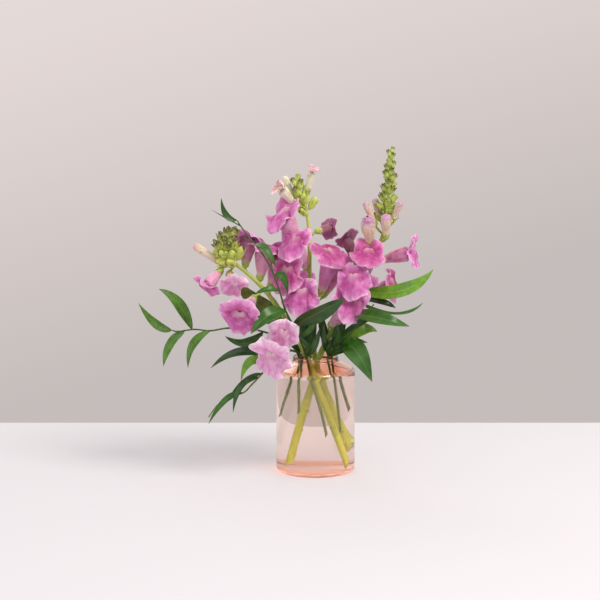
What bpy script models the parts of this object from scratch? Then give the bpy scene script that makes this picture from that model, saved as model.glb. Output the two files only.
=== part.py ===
# Snapdragon stems and ruscus sprigs standing in a small round glass bottle vase.
# The frame's origin is the centre of the vase's flat foot, with +Z up and the front towards -Y.
# Lengths below are in millimetres and are scaled to metres where a mesh is made.

import math

import bmesh
import bpy
from mathutils import Vector

MM = 0.001
UP = Vector((0.0, 0.0, 1.0))

# Vase
VASE_RADIUS = 38.7
VASE_HEIGHT = 114.3
VASE_WALL = 1.7
VASE_FLOOR = 3.0
HEEL_ROUND = 4.5
MOUTH_RADIUS = 22.2
LIP_LOW = 110.5
SHOULDER_LOW = 100.0
SHOULDER_ROUND = 4.0
VASE_SEGMENTS = 36

# Water
WATER_LEVEL = 98.5
GAP = 0.35

# Stems
SNAPDRAGON_FOOT_RADIUS = 3.2
SNAPDRAGON_NECK_RADIUS = 2.7
SNAPDRAGON_TIP_RADIUS = 1.1
RUSCUS_FOOT_RADIUS = 1.3
RUSCUS_TIP_RADIUS = 0.7
PEDICEL_RADIUS = 1.0
CALYX_RADIUS = 3.3
CALYX_HALF_LENGTH = 2.6
LEAF_THICKNESS = 0.8
LEAF_SEAT = 0.85
PATH_STEPS = 2

# Each snapdragon stem runs from its cut foot through the neck of the vase to its tip.
SNAPDRAGON_PATHS = {
    "left": [
        (28, -9, 4), (8, -10, 66), (-1, -10, 94), (-8, -9.5, 114), (-21, -10, 139), (-35, -11, 162),
        (-50, -12, 182), (-66, -14, 198), (-79, -16, 209), (-86, -19, 220), (-87, -23, 230),
        (-82, -30, 238),
    ],
    "middle": [
        (22, 19, 17), (9, 14, 66), (3, 11, 94), (-1, 9, 114), (-4, 9, 138), (-6, 9, 168),
        (-6, 8, 198), (-6, 7, 228), (-8, 6, 252), (-12, 5, 266), (-16, 4, 278),
    ],
    "right": [
        (-20, 1, 5), (-9, 0, 60), (-1, -1, 94), (4, -1, 114), (14, 0, 135), (29, 3, 157),
        (43, 6, 181), (53, 8, 200), (60, 9, 218), (67, 10, 239), (70, 10, 267), (72, 9, 291),
        (73, 8, 314),
    ],
}

# Ruscus sprigs, from the foot in the water to the end of the wiry stem.
RUSCUS_PATHS = {
    "far_left": [
        (-30, -4, 54), (-22, -4, 80), (-17, -3, 100), (-17, -4, 117), (-27, -10, 129),
        (-42, -14, 138), (-64, -10, 143), (-85, -6, 143), (-103, -4, 140), (-118, -2, 141),
        (-134, -2, 139), (-140, -2, 140),
    ],
    "arching": [
        (10, -21, 38), (4, -19, 66), (-5, -16, 98), (-9, -15, 116), (-16, -24, 137), (-24, -33, 154),
        (-30, -37, 168), (-35, -40, 186), (-42, -40, 205), (-52, -38, 222), (-63, -36, 235),
        (-72, -34, 247), (-75, -34, 252),
    ],
    "low_left": [
        (-14, -17, 60), (-14, -15, 84), (-14, -12, 102), (-14, -12, 117), (-25, -17, 123),
        (-35, -22, 121), (-43, -25, 115), (-52, -27, 102), (-62, -27, 91), (-70, -26, 83),
        (-84, -24, 78), (-96, -22, 69), (-104, -22, 58),
    ],
    "right": [
        (22, -18, 42), (19, -16, 66), (15, -13, 96), (12, -12, 116), (23, -20, 132),
        (36, -26, 145), (47, -28, 158), (56, -27, 170),
    ],
    "low_right": [
        (24, 8, 58), (20, 0, 84), (17, -4, 102), (16, -6, 116), (20, -12, 125), (24, -17, 129),
        (28, -21, 130),
    ],
}

# Each floret: the stem that bears it, the centre of its calyx mouth, the front of its lips and
# its half width at the lips.
FLORETS = {
    "left_floret_1": ("left", (-95, -18, 211), (-116, -24, 226), 4.2),
    "left_floret_2": ("left", (-92, -24, 202), (-108, -38, 186), 9.5),
    "left_floret_3": ("left", (-83, -23, 199), (-75, -44, 187), 10.0),
    "left_floret_4": ("left", (-68, -8, 206), (-66, 0, 238), 9.5),
    "left_floret_5": ("left", (-54, -4, 192), (-49, -4, 224), 9.5),
    "left_floret_6": ("left", (-44, 2, 182), (-37, 14, 212), 8.0),
    "left_floret_7": ("left", (-60, -22, 175), (-72, -50, 160), 14.0),
    "left_floret_8": ("left", (-31, -20, 146), (-31, -48, 141), 11.5),
    "left_floret_9": ("left", (-29, -25, 128), (-40, -52, 117), 13.0),
    "middle_floret_1": ("middle", (-21, 2, 264), (-34, -6, 280), 6.5),
    "middle_floret_2": ("middle", (-8, 4, 276), (-3, 0, 297), 5.5),
    "middle_floret_3": ("middle", (-17, 0, 230), (-33, -10, 255), 13.5),
    "middle_floret_4": ("middle", (2, 12, 236), (14, 28, 236), 7.0),
    "middle_floret_5": ("middle", (-9, -2, 202), (-21, -23, 226), 12.0),
    "middle_floret_6": ("middle", (-13, -3, 182), (-29, -25, 198), 9.5),
    "middle_floret_7": ("middle", (-9, -5, 160), (-15, -34, 176), 13.0),
    "middle_floret_8": ("middle", (5, 3, 177), (17, -9, 216), 10.5),
    "middle_floret_9": ("middle", (8, 17, 172), (26, 24, 202), 9.0),
    "middle_floret_10": ("middle", (-11, 19, 164), (-18, 46, 176), 11.0),
    "right_floret_1": ("right", (68, 3, 232), (68, -4, 253), 6.0),
    "right_floret_2": ("right", (53, 2, 225), (50, -8, 250), 8.5),
    "right_floret_3": ("right", (64, 10, 208), (94, 2, 216), 9.5),
    "right_floret_4": ("right", (42, 14, 202), (30, 28, 226), 8.0),
    "right_floret_5": ("right", (49, 1, 192), (51, -13, 216), 11.0),
    "right_floret_6": ("right", (44, -4, 171), (35, -26, 191), 10.0),
    "right_floret_7": ("right", (53, 5, 174), (75, -2, 184), 8.5),
    "right_floret_8": ("right", (15, -6, 146), (34, -24, 169), 11.0),
    "right_floret_9": ("right", (38, 14, 165), (46, 42, 174), 11.0),
}

# Each leaf: the stem that bears it, its middle, its tip, its width and the way its face looks.
LEAVES = {
    "far_left_leaf_1": ("far_left", (-120, -2, 141), (-134, -8, 168), (-152, -10, 182), 12, (0.3, -0.8, 0.5)),
    "far_left_leaf_2": ("far_left", (-140, -2, 140), (-156, -5, 147), (-172, -8, 168), 9, (0.2, -0.8, 0.5)),
    "far_left_leaf_3": ("far_left", (-127, -3, 139), (-141, -14, 128), (-148, -20, 108), 10, (-0.4, -0.8, 0.4)),
    "far_left_leaf_4": ("far_left", (-104, -4, 140), (-119, -13, 128), (-124, -17, 106), 9, (-0.4, -0.8, 0.4)),
    "arching_leaf_1": ("arching", (-75, -34, 252), (-86, -35, 258), (-90, -37, 274), 6, (0.3, -0.9, 0.2)),
    "arching_leaf_2": ("arching", (-58, -37, 229), (-48, -46, 226), (-38, -48, 208), 9, (0.5, -0.8, 0.4)),
    "arching_leaf_3": ("arching", (-40, -40, 201), (-31, -40, 198), (-27, -36, 181), 8, (0.3, -0.9, 0.1)),
    "arching_leaf_4": ("arching", (-22, -31, 151), (6, -50, 169), (28, -50, 180), 20, (0.1, -0.8, -0.5)),
    "arching_leaf_5": ("arching", (-29, -36, 165), (-46, -54, 163), (-62, -55, 146), 16, (-0.1, -0.8, 0.6)),
    "stem_leaf": ("left", (-27, -9, 150), (-55, 6, 162), (-79, -4, 188), 16, (0.3, -0.9, -0.2)),
    "low_left_leaf_1": ("low_left", (-41, -24, 117), (-74, -14, 121), (-102, -10, 104), 9, (0.1, -0.8, 0.6)),
    "low_left_leaf_2": ("low_left", (-46, -26, 110), (-63, -38, 116), (-72, -38, 97), 9, (0.3, -0.8, 0.6)),
    "low_left_leaf_3": ("low_left", (-54, -27, 99), (-72, -38, 91), (-80, -40, 66), 7, (-0.5, -0.8, 0.3)),
    "far_left_leaf_5": ("far_left", (-52, -12, 140), (-68, -18, 130), (-88, -12, 136), 11, (0.0, -0.7, 0.8)),
    "right_leaf_1": ("right", (55, -25, 173), (82, -28, 175), (105, -24, 194), 15, (-0.2, -0.8, 0.5)),
    "right_leaf_2": ("right", (49, -25, 168), (64, -12, 170), (78, -8, 163), 9, (0.1, -0.6, 0.8)),
    "right_leaf_3": ("right", (46, -25, 167), (76, -33, 162), (103, -32, 172), 7, (0.1, -0.3, 0.9)),
    "right_leaf_4": ("right", (42, -27, 152), (60, -49, 160), (90, -46, 152), 16, (0.1, -0.8, 0.7)),
    "low_right_leaf_1": ("low_right", (24, -17, 131), (44, -12, 142), (60, -9, 140), 14, (0.1, -0.8, 0.7)),
    "low_right_leaf_2": ("low_right", (28, -21, 130), (40, -42, 125), (54, -48, 98), 21, (-0.3, -0.8, 0.6)),
    "low_right_leaf_3": ("low_right", (18, -9, 120), (32, -2, 136), (46, 2, 152), 13, (0.5, -0.8, 0.3)),
}

# Spiral of buds towards each tip: how many, the stretch they fill down from the tip, and the
# length of the lowest bud.
BUD_SPIRALS = {
    "left": (15, 24.0, 7.5),
    "middle": (7, 17.0, 8.5),
    "right": (21, 62.0, 9.0),
}
BUD_TURN = math.radians(137.5)

# Rings of a floret from calyx to lips: share of the length, share of the half width across,
# share of the half width towards the upper lip, and the shift towards it.
FLORET_RINGS = [
    (0.03, 0.30, 0.30, 0.0),
    (0.12, 0.42, 0.42, 0.0),
    (0.34, 0.48, 0.52, 0.0),
    (0.56, 0.60, 0.66, 0.05),
    (0.76, 0.86, 0.92, 0.12),
    (0.92, 1.00, 1.04, 0.10),
    (0.99, 0.66, 0.70, 0.06),
]
FLORET_SEGMENTS = 8

COLOURS = {
    "glass": (0.93, 0.66, 0.56, 0.35),
    "water": (0.96, 0.88, 0.86, 0.40),
    "stem": (0.36, 0.50, 0.12, 1.0),
    "wiry_stem": (0.14, 0.24, 0.07, 1.0),
    "leaf": (0.08, 0.24, 0.04, 1.0),
    "petal": (0.72, 0.27, 0.58, 1.0),
}


def clear_scene():
    for item in list(bpy.data.objects):
        bpy.data.objects.remove(item, do_unlink=True)


def new_collection(name):
    collection = bpy.data.collections.new(name)
    bpy.context.scene.collection.children.link(collection)
    return collection


def new_material(name, colour, roughness):
    material = bpy.data.materials.new(name)
    material.use_nodes = True
    shader = material.node_tree.nodes["Principled BSDF"]
    shader.inputs["Base Color"].default_value = colour
    shader.inputs["Roughness"].default_value = roughness
    shader.inputs["Metallic"].default_value = 0.0
    shader.inputs["Alpha"].default_value = colour[3]
    material.diffuse_color = colour
    return material


def add_object(name, mesh, collection, kind=None, roughness=0.5):
    item = bpy.data.objects.new(name, mesh)
    collection.objects.link(item)
    if kind:
        mesh.materials.clear()
        mesh.materials.append(new_material(name + "_finish", COLOURS[kind], roughness))
    return item


def as_cutter(item):
    item.hide_render = True
    item.display_type = "WIRE"
    return item


def smooth_path(points, steps=PATH_STEPS):
    """Points of a smooth curve that passes through the given ones."""
    knots = [Vector(p) for p in points]
    knots = [knots[0] * 2 - knots[1]] + knots + [knots[-1] * 2 - knots[-2]]
    path = []
    for before, start, end, after in zip(knots, knots[1:], knots[2:], knots[3:]):
        for step in range(steps):
            t = step / steps
            bend = (before * 2 - start * 5 + end * 4 - after) * t * t
            twist = (start * 3 - before - end * 3 + after) * t * t * t
            path.append((start * 2 + (end - before) * t + bend + twist) * 0.5)
    path.append(knots[-2])
    return path


def tube_mesh(name, path, radii, resolution=2):
    """Closed mesh of a tube along the path with a radius at each of its points."""
    curve = bpy.data.curves.new(name, "CURVE")
    curve.dimensions = "3D"
    curve.bevel_depth = MM
    curve.bevel_resolution = resolution
    curve.use_fill_caps = True
    spline = curve.splines.new("POLY")
    spline.points.add(len(path) - 1)
    for point, place, radius in zip(spline.points, path, radii):
        point.co = (*(place * MM), 1.0)
        point.radius = radius
    guide = bpy.data.objects.new(name, curve)
    bpy.context.scene.collection.objects.link(guide)
    evaluated = guide.evaluated_get(bpy.context.evaluated_depsgraph_get())
    mesh = bpy.data.meshes.new_from_object(evaluated)
    bpy.data.objects.remove(guide, do_unlink=True)
    shape = bmesh.new()
    shape.from_mesh(mesh)
    bmesh.ops.remove_doubles(shape, verts=shape.verts, dist=0.01 * MM)
    bmesh.ops.recalc_face_normals(shape, faces=shape.faces)
    shape.to_mesh(mesh)
    shape.free()
    return mesh


def oval_mesh(name, centre, axis, half_length, radius, segments=7, rings=4):
    """Closed egg-shaped mesh with its long axis along the given direction."""
    shape = bmesh.new()
    bmesh.ops.create_uvsphere(shape, u_segments=segments, v_segments=rings, radius=1.0)
    turn = axis.to_track_quat("Z", "Y")
    for vertex in shape.verts:
        stretched = Vector((vertex.co.x * radius, vertex.co.y * radius, vertex.co.z * half_length))
        vertex.co = (centre + turn @ stretched) * MM
    mesh = bpy.data.meshes.new(name)
    shape.to_mesh(mesh)
    shape.free()
    return mesh


def taper(path, start, end, power=1.0):
    """Radii that run from start to end along a path."""
    last = len(path) - 1
    return [start + (end - start) * (i / last) ** power for i in range(len(path))]


def snapdragon_radii(path):
    """Radii of a snapdragon stem, thick in the water and thin in the bud spike."""
    neck = min(range(len(path)), key=lambda i: abs(path[i].z - VASE_HEIGHT))
    radii = []
    for i in range(len(path)):
        if i <= neck:
            share = i / neck
            radii.append(SNAPDRAGON_FOOT_RADIUS + (SNAPDRAGON_NECK_RADIUS - SNAPDRAGON_FOOT_RADIUS) * share)
        else:
            share = (i - neck) / (len(path) - 1 - neck)
            radii.append(SNAPDRAGON_NECK_RADIUS + (SNAPDRAGON_TIP_RADIUS - SNAPDRAGON_NECK_RADIUS) * share)
    return radii


def nearest(path, radii, point):
    """Place on the path nearest to the given point, with the radius and direction there."""
    found = None
    for i in range(len(path) - 1):
        step = path[i + 1] - path[i]
        t = max(0.0, min(1.0, (point - path[i]).dot(step) / step.length_squared))
        place = path[i] + step * t
        distance = (place - point).length
        if found is None or distance < found[0]:
            found = (distance, place, radii[i] + (radii[i + 1] - radii[i]) * t, step.normalized())
    return found[1:]


def arc(centre, radius, start, end, count):
    """Points of an arc in the radius and height plane, with angles in degrees."""
    points = []
    for i in range(count):
        angle = math.radians(start + (end - start) * i / (count - 1))
        points.append((centre[0] + radius * math.cos(angle), centre[1] + radius * math.sin(angle)))
    return points


def turned_mesh(name, profile, collection, kind, roughness):
    """Object turned about Z from a profile of radius and height."""
    mesh = bpy.data.meshes.new(name)
    shape = bmesh.new()
    corners = [shape.verts.new((r * MM, 0.0, z * MM)) for r, z in profile]
    for first, second in zip(corners, corners[1:]):
        shape.edges.new((first, second))
    shape.to_mesh(mesh)
    shape.free()
    item = add_object(name, mesh, collection, kind, roughness)
    screw = item.modifiers.new("turn", "SCREW")
    screw.axis = "Z"
    screw.angle = math.radians(360.0)
    screw.steps = VASE_SEGMENTS
    screw.render_steps = VASE_SEGMENTS
    screw.use_merge_vertices = True
    screw.merge_threshold = 0.00001
    return item


def vase_inside(clearance=0.0):
    """Inner outline of the vase from its floor up to the shoulder, moved in by a clearance."""
    wall = VASE_RADIUS - VASE_WALL - clearance
    floor = VASE_FLOOR + clearance
    return arc((wall - HEEL_ROUND, floor + HEEL_ROUND), HEEL_ROUND, -90, 0, 4), wall, floor


def make_vase(collection):
    inner_heel, wall, floor = vase_inside()
    outer_lip = [(MOUTH_RADIUS - VASE_WALL / 2, VASE_HEIGHT), (MOUTH_RADIUS, VASE_HEIGHT - 0.8)]
    shoulder_top = (MOUTH_RADIUS, LIP_LOW)
    shoulder = arc((VASE_RADIUS - SHOULDER_ROUND, SHOULDER_LOW - 1.0), SHOULDER_ROUND, 62, 0, 4)
    outer_heel = arc((VASE_RADIUS - HEEL_ROUND, HEEL_ROUND), HEEL_ROUND, 0, -90, 4)
    inner_shoulder = arc((wall - SHOULDER_ROUND, SHOULDER_LOW - 1.6), SHOULDER_ROUND, 0, 62, 4)
    inner_lip = [
        (MOUTH_RADIUS - VASE_WALL - 0.3, LIP_LOW - 0.9),
        (MOUTH_RADIUS - VASE_WALL, VASE_HEIGHT - 0.8),
    ]
    profile = outer_lip + [shoulder_top] + shoulder + outer_heel + [(0.0, 0.0)]
    profile = profile + [(0.0, floor)] + inner_heel + inner_shoulder + inner_lip
    profile.append(profile[0])
    return turned_mesh("vase", profile, collection, "glass", 0.05)


def make_water(collection, cutters):
    heel, wall, floor = vase_inside(GAP)
    profile = [(0.0, WATER_LEVEL), (wall, WATER_LEVEL)] + heel[::-1] + [(0.0, floor)]
    water = turned_mesh("water", profile, collection, "water", 0.02)
    cut = water.modifiers.new("stems", "BOOLEAN")
    cut.operation = "DIFFERENCE"
    cut.operand_type = "COLLECTION"
    cut.collection = cutters
    cut.solver = "EXACT"
    return water


def make_water_cutter(name, path, radii, cutters):
    """A slightly fatter copy of the part of a stem that stands in the water."""
    wet = [i for i in range(len(path)) if path[i].z < VASE_HEIGHT - 6.0]
    foot = path[0] - (path[1] - path[0]).normalized() * GAP
    route = [foot] + [path[i] for i in wet]
    sizes = [radii[0] + GAP] + [radii[i] + GAP for i in wet]
    mesh = tube_mesh(name + "_channel", route, sizes)
    as_cutter(add_object(name + "_channel", mesh, cutters))


def side_union(item, sides):
    join = item.modifiers.new("side_pieces", "BOOLEAN")
    join.operation = "UNION"
    join.operand_type = "COLLECTION"
    join.collection = sides
    join.solver = "EXACT"


def add_flower_seats(key, path, radii, sides):
    """Short stalk and calyx below each floret of one stem."""
    for name, (stem, mouth, lips, _) in FLORETS.items():
        if stem != key:
            continue
        mouth = Vector(mouth)
        axis = (Vector(lips) - mouth).normalized()
        centre = mouth - axis * (GAP + CALYX_HALF_LENGTH)
        size = CALYX_RADIUS if FLORETS[name][3] > 7 else CALYX_RADIUS * 0.8
        calyx = oval_mesh(name + "_calyx", centre, axis, CALYX_HALF_LENGTH, size)
        as_cutter(add_object(name + "_calyx", calyx, sides))
        root = nearest(path, radii, centre - axis * 4.0 - UP * 3.0)[0]
        bend = (root + centre) * 0.5 - UP * 0.8
        stalk = [root, bend, centre - axis * 1.0]
        mesh = tube_mesh(name + "_stalk", stalk, [PEDICEL_RADIUS] * len(stalk), 1)
        as_cutter(add_object(name + "_stalk", mesh, sides))


def add_buds(key, path, radii, sides):
    """Spiral of closed buds that grow longer down from the tip."""
    count, stretch, longest = BUD_SPIRALS[key]
    fine = smooth_path(path, 4)
    lengths = [0.0]
    for first, second in zip(fine[::-1], fine[::-1][1:]):
        lengths.append(lengths[-1] + (second - first).length)
    for i in range(count):
        share = i / (count - 1)
        down = stretch * share ** 0.9
        index = min(range(len(lengths)), key=lambda k: abs(lengths[k] - down))
        place = fine[::-1][index]
        along = (fine[::-1][max(index - 1, 0)] - fine[::-1][min(index + 1, len(fine) - 1)]).normalized()
        side = along.orthogonal().normalized()
        across = along.cross(side)
        turn = BUD_TURN * i
        out = side * math.cos(turn) + across * math.sin(turn)
        lean = math.radians(12 + 38 * share)
        axis = (along * math.cos(lean) + out * math.sin(lean)).normalized()
        length = 3.2 + (longest - 3.2) * share
        centre = place + out * (0.4 + 0.6 * share) + axis * length * 0.45
        mesh = oval_mesh(f"{key}_bud_{i}", centre, axis, length * 0.6, 1.1 + 1.2 * share, 6, 4)
        as_cutter(add_object(f"{key}_bud_{i}", mesh, sides))


def make_snapdragon(key, collection, cutter_group, channels):
    path = smooth_path(SNAPDRAGON_PATHS[key])
    radii = snapdragon_radii(path)
    name = f"snapdragon_{key}_stem"
    stem = add_object(name, tube_mesh(name, path, radii), collection, "stem", 0.5)
    sides = bpy.data.collections.new(name + "_sides")
    cutter_group.children.link(sides)
    add_flower_seats(key, path, radii, sides)
    add_buds(key, path, radii, sides)
    side_union(stem, sides)
    make_water_cutter(name, path, radii, channels)
    return path, radii


def make_ruscus(key, collection, channels):
    path = smooth_path(RUSCUS_PATHS[key])
    radii = taper(path, RUSCUS_FOOT_RADIUS, RUSCUS_TIP_RADIUS)
    name = f"ruscus_{key}_stem"
    add_object(name, tube_mesh(name, path, radii), collection, "wiry_stem", 0.5)
    make_water_cutter(name, path, radii, channels)
    return path, radii


def upper_side(stem_path, mouth, lips, axis):
    """Direction of a floret's upper lip: upwards and towards the stem that bears it."""
    stem_point = min(stem_path, key=lambda p: (p - lips).length)
    towards = (stem_point - lips).normalized()
    upper = UP * 0.75 + towards
    upper = upper - axis * upper.dot(axis)
    return upper.normalized()


def make_floret(name, stem_path, mouth, lips, half_width, collection):
    """Closed trumpet shape of one corolla, wide at the lips."""
    mouth = Vector(mouth)
    lips = Vector(lips)
    axis = (lips - mouth).normalized()
    length = (lips - mouth).length
    upper = upper_side(stem_path, mouth, lips, axis)
    side = upper.cross(axis)
    shape = bmesh.new()
    rings = len(FLORET_RINGS) + 1
    bmesh.ops.create_uvsphere(shape, u_segments=FLORET_SEGMENTS, v_segments=rings, radius=1.0)
    for vertex in shape.verts:
        level = round(math.acos(max(-1.0, min(1.0, -vertex.co.z))) / math.pi * rings)
        if level in (0, rings):
            along = 0.0 if level == 0 else 0.94
            vertex.co = (mouth + axis * length * along) * MM
            continue
        share, across, tall, shift = FLORET_RINGS[level - 1]
        flat = Vector((vertex.co.x, vertex.co.y)).normalized()
        offset = side * flat.x * across + upper * (flat.y * tall + shift)
        vertex.co = (mouth + axis * length * share + offset * half_width) * MM
    mesh = bpy.data.meshes.new(name)
    shape.to_mesh(mesh)
    shape.free()
    for polygon in mesh.polygons:
        polygon.use_smooth = True
    add_object(name, mesh, collection, "petal", 0.6)


def leaf_points(start, middle, tip, rows):
    """Even points of a curve from a leaf's foot through its middle to its tip."""
    control = middle * 2 - (start + tip) * 0.5
    points = []
    for row in range(rows + 1):
        t = row / rows
        points.append(start * (1 - t) ** 2 + control * 2 * t * (1 - t) + tip * t * t)
    return points


def make_leaf(name, stem, foot, middle, tip, width, facing, collection):
    """Thin pointed blade with a shallow fold along its middle."""
    path, radii = stem
    middle = Vector(middle)
    tip = Vector(tip)
    root, radius, along_stem = nearest(path, radii, Vector(foot))
    out = (middle - root).normalized()
    if (root - path[-1]).length < 0.1:
        start = root + out * LEAF_SEAT
    else:
        start = root + (out - along_stem * out.dot(along_stem)).normalized() * (radius + LEAF_SEAT)
    rows = 6
    line = leaf_points(start, middle, tip, rows)
    shape = bmesh.new()
    bmesh.ops.create_grid(shape, x_segments=2, y_segments=rows, size=1.0)
    facing = Vector(facing)
    for vertex in shape.verts:
        row = round((vertex.co.y + 1) / 2 * rows)
        along = (line[min(row + 1, rows)] - line[max(row - 1, 0)]).normalized()
        across = along.cross(facing).normalized()
        normal = across.cross(along).normalized()
        t = row / rows
        half = max(width / 2 * math.sin(math.pi * t ** 0.85) ** 0.85 if 0 < row < rows else 0.0, 0.5)
        fold = abs(vertex.co.x) * half * 0.22
        vertex.co = (line[row] + across * vertex.co.x * half + normal * fold) * MM
    mesh = bpy.data.meshes.new(name)
    shape.to_mesh(mesh)
    shape.free()
    item = add_object(name, mesh, collection, "leaf", 0.35)
    solid = item.modifiers.new("thickness", "SOLIDIFY")
    solid.thickness = LEAF_THICKNESS * MM
    solid.offset = 0.0


def main():
    clear_scene()
    parts = new_collection("snapdragon_vase_arrangement")
    cutters = new_collection("cutters")
    channels = bpy.data.collections.new("stem_channels")
    cutters.children.link(channels)
    make_vase(parts)
    stems = {}
    for key in SNAPDRAGON_PATHS:
        stems[key] = make_snapdragon(key, parts, cutters, channels)
    sprigs = {}
    for key in RUSCUS_PATHS:
        sprigs[key] = make_ruscus(key, parts, channels)
    make_water(parts, channels)
    for name, (stem, mouth, lips, half_width) in FLORETS.items():
        make_floret(name, stems[stem][0], mouth, lips, half_width, parts)
    for name, (stem, foot, middle, tip, width, facing) in LEAVES.items():
        bearer = stems["left"] if name == "stem_leaf" else sprigs[stem]
        make_leaf(name, bearer, foot, middle, tip, width, facing, parts)


main()
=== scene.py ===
import math
import random

import bpy
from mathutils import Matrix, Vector


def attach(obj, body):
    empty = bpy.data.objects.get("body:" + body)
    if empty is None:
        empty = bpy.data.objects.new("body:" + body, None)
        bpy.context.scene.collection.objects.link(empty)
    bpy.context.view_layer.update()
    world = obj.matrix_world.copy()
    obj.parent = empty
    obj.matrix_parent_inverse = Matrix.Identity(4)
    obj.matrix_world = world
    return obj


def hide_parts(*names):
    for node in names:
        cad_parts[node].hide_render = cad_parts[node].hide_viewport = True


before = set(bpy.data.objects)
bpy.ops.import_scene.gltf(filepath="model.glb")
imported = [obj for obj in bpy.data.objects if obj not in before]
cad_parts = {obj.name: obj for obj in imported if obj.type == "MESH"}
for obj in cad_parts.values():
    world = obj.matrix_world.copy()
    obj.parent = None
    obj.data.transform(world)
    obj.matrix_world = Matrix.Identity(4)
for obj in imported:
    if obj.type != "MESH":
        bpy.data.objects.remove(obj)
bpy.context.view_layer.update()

mm = 0.001
up = Vector((0.0, 0.0, 1.0))


# Camera, light and floor

view = {
    "place": (-0.0152, -2.280, 0.539),
    "tiltDown": 9.2,
    "lens": 142.2,
    "clip": (0.05, 20),
    "bounces": 32,  # enough for the glass shoulder, where fewer leave dark spots
}


def paint(code):
    # a web colour made linear
    parts = [int(code[i:i + 2], 16) / 255 for i in (1, 3, 5)]
    linear = [c / 12.92 if c <= 0.04045 else ((c + 0.055) / 1.055) ** 2.4 for c in parts]
    return (*linear, 1.0)


def placeCamera():
    camera = bpy.data.objects.new("camera", bpy.data.cameras.new("camera"))
    bpy.context.scene.collection.objects.link(camera)
    camera.location = view["place"]
    camera.rotation_euler = (math.radians(90 - view["tiltDown"]), 0, 0)
    camera.data.lens = view["lens"]
    camera.data.clip_start, camera.data.clip_end = view["clip"]
    bpy.context.scene.camera = camera


lamps = {
    # aim is the height on the vase's axis that the lamp is turned to
    "key": {"place": (1.00, -0.85, 1.75), "aim": 0.15, "size": 0.90, "watts": 31, "colour": "#fff7f0"},
    "fill": {"place": (-1.3, -1.8, 1.0), "aim": 0.15, "size": 1.2, "watts": 7, "colour": "#f6f2ff"},
    "rear": {"place": (-0.7, 1.3, 1.3), "aim": 0.2, "size": 0.7, "watts": 4, "colour": "#fff8f2"},
}


def placeLamps():
    for name, lamp in lamps.items():
        light = bpy.data.lights.new(name, "AREA")
        light.shape = "SQUARE"
        light.size = lamp["size"]
        light.energy = lamp["watts"]
        light.color = paint(lamp["colour"])[:3]
        item = bpy.data.objects.new(name, light)
        bpy.context.scene.collection.objects.link(item)
        item.location = lamp["place"]
        aim = up * lamp["aim"] - Vector(lamp["place"])
        item.rotation_euler = aim.to_track_quat("-Z", "Y").to_euler()


studioAir = {
    "slope": (-0.28, 0.0, 1.0),  # lighter upwards and to the left
    "span": (-0.17, 0.15),
    "colours": ("#c5bdbb", "#e2d7d4", "#f0eae7"),
    "middleAt": 0.44,
}


def makeWorld():
    world = bpy.data.worlds.new("studio")
    world.use_nodes = True
    bpy.context.scene.world = world
    tree = world.node_tree
    place = tree.nodes.new("ShaderNodeTexCoord")
    slope = addNode(tree, "ShaderNodeVectorMath", {"operation": "DOT_PRODUCT"}, i1=studioAir["slope"])
    tree.links.new(place.outputs["Generated"], slope.inputs[0])
    spread = addNode(tree, "ShaderNodeMapRange", Value=slope.outputs["Value"])
    spread.inputs["From Min"].default_value, spread.inputs["From Max"].default_value = studioAir["span"]
    sky = addNode(tree, "ShaderNodeValToRGB", Fac=spread.outputs["Result"])
    low, middle, high = [paint(code) for code in studioAir["colours"]]
    sky.color_ramp.elements[0].color = low
    sky.color_ramp.elements[1].color = high
    sky.color_ramp.elements.new(studioAir["middleAt"]).color = middle
    tree.links.new(sky.outputs["Color"], tree.nodes["Background"].inputs["Color"])


floorBoard = {
    "front": -1.6, "back": 0.22, "halfWidth": 1.5, "thick": 0.04,
    "top": 0.0001,  # the flat underside of the glass sits just in it
    "colour": "#cfcfd4",
    "finish": {"Roughness": 0.7, "Specular IOR Level": 0.12},
}


def makeFloor():
    depth = floorBoard["back"] - floorBoard["front"]
    middle = (floorBoard["back"] + floorBoard["front"]) / 2
    height = floorBoard["top"] - floorBoard["thick"] / 2
    bpy.ops.mesh.primitive_cube_add(size=1, location=(0, middle, height))
    floor = bpy.context.object
    floor.name = "floor"
    floor.scale = (floorBoard["halfWidth"] * 2, depth, floorBoard["thick"])
    bpy.ops.object.transform_apply()
    material, _, shader = newMaterial("pale_floor")
    setInputs(shader, {"Base Color": paint(floorBoard["colour"]), **floorBoard["finish"]})
    floor.data.materials.append(material)


# Shader building blocks

def newMaterial(name):
    material = bpy.data.materials.new(name)
    material.use_nodes = True
    return material, material.node_tree, material.node_tree.nodes["Principled BSDF"]


def addNode(tree, kind, settings=None, **values):
    # i0, i1 and so on stand for the numbered inputs, other names for the named ones
    node = tree.nodes.new(kind)
    for key, value in (settings or {}).items():
        setattr(node, key, value)
    for key, value in values.items():
        socket = node.inputs[int(key[1:])] if key[0] == "i" and key[1:].isdigit() else node.inputs[key]
        fillSocket(tree, socket, value)
    return node


def fillSocket(tree, socket, value):
    if isinstance(value, bpy.types.NodeSocket):
        tree.links.new(value, socket)
    else:
        socket.default_value = value


def setInputs(node, values):
    for name, value in values.items():
        node.inputs[name].default_value = value


def combine(tree, operation, first, second=0.0):
    return addNode(tree, "ShaderNodeMath", {"operation": operation}, i0=first, i1=second).outputs[0]


def times(tree, first, second):
    return combine(tree, "MULTIPLY", first, second)


def flip(tree, value):
    return combine(tree, "SUBTRACT", 1.0, value)


def mixColour(tree, share, first, second, blend="MIX"):
    node = tree.nodes.new("ShaderNodeMix")
    node.data_type = "RGBA"
    node.blend_type = blend
    fillSocket(tree, node.inputs[0], share)
    fillSocket(tree, node.inputs[6], first)
    fillSocket(tree, node.inputs[7], second)
    return node.outputs[2]


def ramp(tree, value, low, high):
    node = addNode(tree, "ShaderNodeMapRange", {"interpolation_type": "SMOOTHSTEP"}, Value=value)
    setInputs(node, {"From Min": low, "From Max": high})
    return node.outputs["Result"]


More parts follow.
